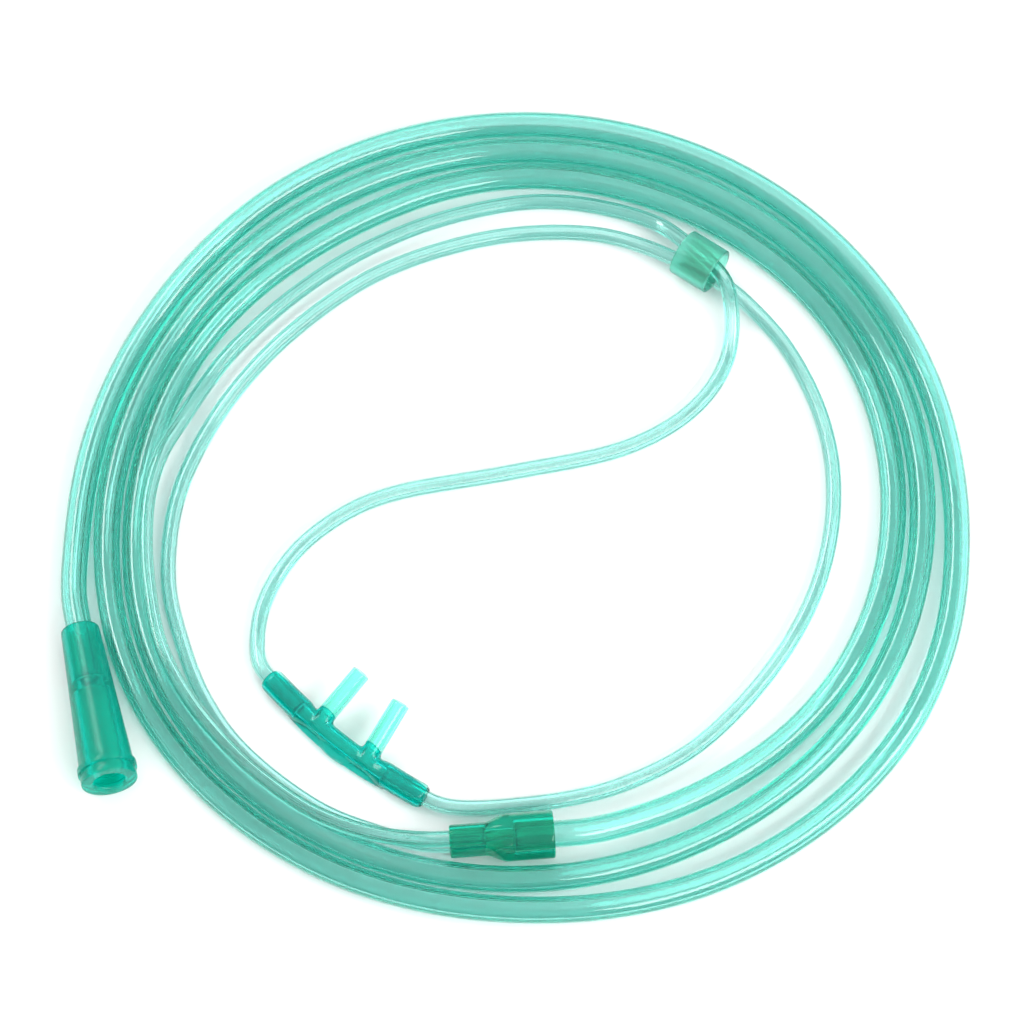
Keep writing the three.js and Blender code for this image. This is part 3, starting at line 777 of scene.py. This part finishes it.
class CANNULA_OT_nasal(bpy.types.Operator):
    """Makes the nose piece with its two prongs."""

    bl_idname = "cannula.nasal"
    bl_label = "Nose piece"

    @staticmethod
    def field(x, y, z):
        """A bowed body with thick ends, a waist, a lip and two prongs, less its channel and bores."""
        across = NASAL_ARC - NASAL_BOW - y
        along = NASAL_ARC * np.arctan2(x, across)
        out = NASAL_ARC - np.hypot(x, across)
        far = np.abs(along)
        half = NASAL_CHORD / 2
        t = np.clip((far - END_FROM) / END_LENGTH, 0, 1)
        t = t * t * (3 - 2 * t)
        ring = np.hypot(out, z)
        body = ring - (WAIST_RADIUS + END_THICKER_BY * t)
        body = most(body, far - half, END_ROUND)
        reach = WING_REACH - WING_TAPER * np.clip(far / WING_TAPER_OVER, 0, 1) ** 2
        wing = np.maximum(np.abs(z - WING_Z) - WING_HALF_THICKNESS, -out - reach)
        wing = np.maximum(wing, np.maximum(out, far - WING_TO))
        body = least(body, wing, RIM_BLEND)
        disc = np.hypot(along / TAB_HALF_WIDTH, out / TAB_REACH) * TAB_REACH - TAB_REACH
        tab = np.maximum(np.abs(z - TAB_Z) - TAB_HALF_THICKNESS, disc)
        tab = np.maximum(tab, out)
        body = least(body, tab, RIM_BLEND)
        bores = []
        for side in (-1, 1):
            turn = math.radians(90 + side * PRONG_TOE_IN)
            rise = math.radians(PRONG_RISE)
            way = (math.cos(turn) * math.cos(rise), math.sin(turn) * math.cos(rise), math.sin(rise))
            dx, dy, dz = x - side * PRONG_SPACING / 2, y + NASAL_BOW, z
            reach = dx * way[0] + dy * way[1] + dz * way[2]
            radius = np.sqrt(np.maximum(dx**2 + dy**2 + dz**2 - reach**2, 0))
            prong = most(radius - PRONG_OD / 2, np.maximum(reach - PRONG_LENGTH, -reach), PRONG_TIP_EDGE)
            body = least(body, prong, PRONG_FILLET)
            bores.append(np.maximum(radius - PRONG_BORE / 2, -reach))
        deep = np.maximum(ring - NASAL_SOCKET_RADIUS, half - NASAL_SOCKET_DEPTH - far)
        channel = ring - NASAL_CHANNEL_RADIUS
        cut = np.minimum(np.minimum(bores[0], bores[1]), np.minimum(deep, channel))
        return most(body, -cut, BORE_EDGE)

    def execute(self, context):
        colour = context.scene.cannula.nasal_colour
        # Moulded soft PVC, satin to glossy; the prongs' thin walls look paler than the thick ends.
        material = soft_pvc("Moulded green nose piece PVC", colour, clear=0.88,
                            tint=linear("00fbfa"), density=520.0, roughness=0.12, gloss=0.25, grain=0.08)
        thin = soft_pvc("Thin-walled prong PVC", linear("c0fff2"), clear=0.97,
                        tint=linear("27f3ef"), density=260.0, roughness=0.06, gloss=0.6, grain=0.05)
        points, faces = skin_of(self.field, (-24.2, -7.0, -3.6), (24.2, 14.4, 9.4))
        piece = add_piece("nasal_piece_moulded", put(NASAL, points), faces, material,
                          "cannula", "nasal_piece")
        piece.data.materials.append(thin)
        middles = np.empty(len(faces) * 3, np.float32)
        piece.data.polygons.foreach_get("center", middles)
        from_coil = middles.reshape(-1, 3) / MM - COIL_MIDDLE - NASAL[:3, 3]
        out = from_coil @ NASAL[:3, :3][:, 1] + NASAL_BOW
        piece.data.polygons.foreach_set("material_index", (out > PRONG_CLEAR_FROM).astype(np.int32))
        return {"FINISHED"}


class CANNULA_OT_stage(bpy.types.Operator):
    """Lays the pale floor and sets the soft studio light."""

    bl_idname = "cannula.stage"
    bl_label = "Stage"

    def execute(self, context):
        scene = context.scene
        scene.view_settings.view_transform = "Standard"
        scene.cycles.max_bounces = scene.cycles.transmission_bounces = TUBE_WALLS_SEEN_THROUGH
        scene.cycles.diffuse_bounces = FLOOR_BOUNCES
        scene.cycles.use_light_tree = False
        floor = bpy.data.meshes.new("floor")
        far = FLOOR_REACH
        corners = [(-far, -far, 0), (far, -far, 0), (far, far, 0), (-far, far, 0)]
        floor.from_pydata(corners, [], [(0, 1, 2, 3)])
        piece = bpy.data.objects.new("floor", floor)
        scene.collection.objects.link(piece)
        # A roll of uncoated white paper: matt, with no shine of its own.
        paper = bpy.data.materials.new("White paper sweep")
        paper.use_nodes = True
        shader = paper.node_tree.nodes["Principled BSDF"]
        shader.inputs["Base Color"].default_value = linear("f3f3f3")
        shader.inputs["Roughness"].default_value = 0.8
        shader.inputs["Specular IOR Level"].default_value = 0.1
        floor.materials.append(paper)
        piece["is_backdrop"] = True
        world = scene.world or bpy.data.worlds.new("World")
        scene.world = world
        world.use_nodes = True
        tree = world.node_tree
        direction = add_node(tree, "TexCoord")
        parts = add_node(tree, "SeparateXYZ", links={"Vector": direction.outputs["Generated"]})
        lights = {"From Max": SKY_TOP, "To Min": HORIZON_LIGHT, "To Max": OVERHEAD_LIGHT}
        climb = add_node(tree, "MapRange", lights, {"Value": parts.outputs["Z"]})
        tree.links.new(climb.outputs["Result"], tree.nodes["Background"].inputs["Strength"])
        tree.nodes["Background"].inputs["Color"].default_value = linear("ffffff")
        for softbox in SOFTBOXES:
            self.hang(context, *softbox)
        return {"FINISHED"}

    @staticmethod
    def hang(context, name, azimuth, elevation, wide, high, radiance):
        """A softbox wide x high degrees as seen from the coil: its watts are radiance * pi * area."""
        distance = SOFTBOX_DISTANCE
        data = bpy.data.lights.new(name, "AREA")
        data.shape = "RECTANGLE"
        data.size = 2 * distance * math.tan(math.radians(wide / 2))
        data.size_y = 2 * distance * math.tan(math.radians(high / 2))
        data.energy = radiance * math.pi * data.size * data.size_y * context.scene.cannula.light_power
        lamp = bpy.data.objects.new(name, data)
        a, e = math.radians(azimuth), math.radians(elevation)
        way = Vector((math.cos(a) * math.cos(e), math.sin(a) * math.cos(e), math.sin(e)))
        lamp.location = Vector(metres((0, 0, 0))) + way * distance
        lamp.rotation_euler = way.to_track_quat("Z", "Y").to_euler()
        context.scene.collection.objects.link(lamp)


class CANNULA_PT_panel(bpy.types.Panel):
    """The cannula's panel in the sidebar."""

    bl_idname = "CANNULA_PT_panel"
    bl_label = "Cannula"
    bl_space_type = "VIEW_3D"
    bl_region_type = "UI"
    bl_category = "Cannula"

    def draw(self, context):
        settings = context.scene.cannula
        for name in ("supply_bore", "thin_bore"):
            self.layout.prop(settings, name)
        for name in ("tube_colour", "connector_colour", "junction_colour", "slider_colour", "nasal_colour"):
            self.layout.prop(settings, name)
        self.layout.prop(settings, "wall_sides")
        self.layout.prop(settings, "light_power")
        for step in STEPS:
            self.layout.operator(step.bl_idname)


STEPS = (
    CANNULA_OT_camera, CANNULA_OT_tubes, CANNULA_OT_connector, CANNULA_OT_junction,
    CANNULA_OT_slider, CANNULA_OT_nasal, CANNULA_OT_stage,
)
CLASSES = (CannulaSettings, *STEPS, CANNULA_PT_panel)


def register():
    for made in CLASSES:
        bpy.utils.register_class(made)
    bpy.types.Scene.cannula = PointerProperty(type=CannulaSettings)


def unregister():
    del bpy.types.Scene.cannula
    for made in reversed(CLASSES):
        bpy.utils.unregister_class(made)


def corners():
    return [list(map(float, corner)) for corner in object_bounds()]


def main():
    """Makes every piece in order."""
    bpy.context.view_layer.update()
    register()
    for step in STEPS:
        group, name = step.bl_idname.split(".")
        getattr(getattr(bpy.ops, group), name)()


if __name__ == "__main__":
    main()
